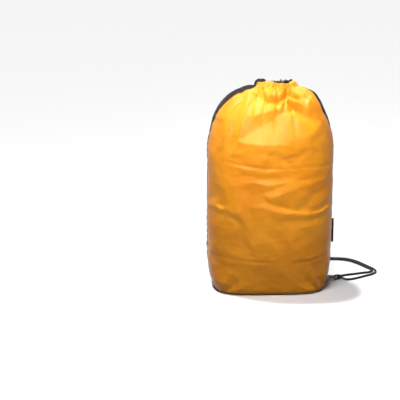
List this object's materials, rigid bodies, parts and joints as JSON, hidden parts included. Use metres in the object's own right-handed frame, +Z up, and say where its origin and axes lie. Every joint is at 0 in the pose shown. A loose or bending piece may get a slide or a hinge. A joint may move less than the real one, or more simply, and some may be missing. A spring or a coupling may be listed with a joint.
{
  "type": "stuff sack",
  "caption": "Drawstring stuff sack standing filled, cloth front, mesh back, boxed base, and a drawcord that clips to the foot of the side seam as a shoulder strap.",
  "frame": {"origin": "middle of the flat base that the sack stands on", "axes": "+Z up from the base to the mouth, -Y towards the cloth front, +X towards the side seam with the loop and clasp"},
  "size_m": [0.2973, 0.1926, 0.35],
  "materials": {
    "coated_nylon": "satin",
    "black_mesh": "matte",
    "label_black": "satin",
    "label_silver": "satin",
    "black_casing": "matte",
    "binding": "matte",
    "webbing": "matte",
    "braided_cord": "matte",
    "gunmetal": "satin",
    "steel": "satin"
  },
  "bodies": {
    "sack": {"front_panel": "coated_nylon", "mesh_panel": "black_mesh", "label_band": "label_black", "label_patch": "label_silver", "front_casing": "coated_nylon", "back_casing_left": "black_casing", "back_casing_right": "black_casing", "side_binding_left": "binding", "side_binding_right": "binding", "base_tape": "binding", "corner_tape_left": "binding", "corner_tape_right": "binding", "back_hem_tape": "binding", "side_tab": "binding", "webbing_loop": "webbing", "loop_bartack": "webbing", "drawcord": "braided_cord", "strap_cord_a": "braided_cord", "strap_cord_b": "braided_cord"},
    "swivel": {"swivel_eye": "gunmetal"},
    "clasp": {"clasp_body": "gunmetal", "gate_pin": "steel", "gate_spring": "steel", "cord_bight": "braided_cord", "strap_knot": "braided_cord"},
    "gate": {"clasp_gate": "gunmetal"}
  },
  "joints": [
    {"name": "loop_lift", "type": "hinge", "parent": "sack", "child": "swivel", "pos_m": [0.097, 0.0028, 0.0077], "axis": [0.3584, -0.9336, 0], "range_deg": [0, 55]},
    {"name": "clasp_swivel", "type": "hinge", "parent": "swivel", "child": "clasp", "pos_m": [0.10332, 0.00523, 0.00692], "axis": [0.9274, 0.356, -0.1149], "continuous": true},
    {"name": "gate_hinge", "type": "hinge", "parent": "clasp", "child": "gate", "pos_m": [0.10464, 0.01066, 0.00655], "axis": [-0.1073, -0.0412, -0.9934], "range_deg": [0, 22], "stiffness_Nm_per_rad": 0.002, "springref_deg": -11.46}
  ]
}
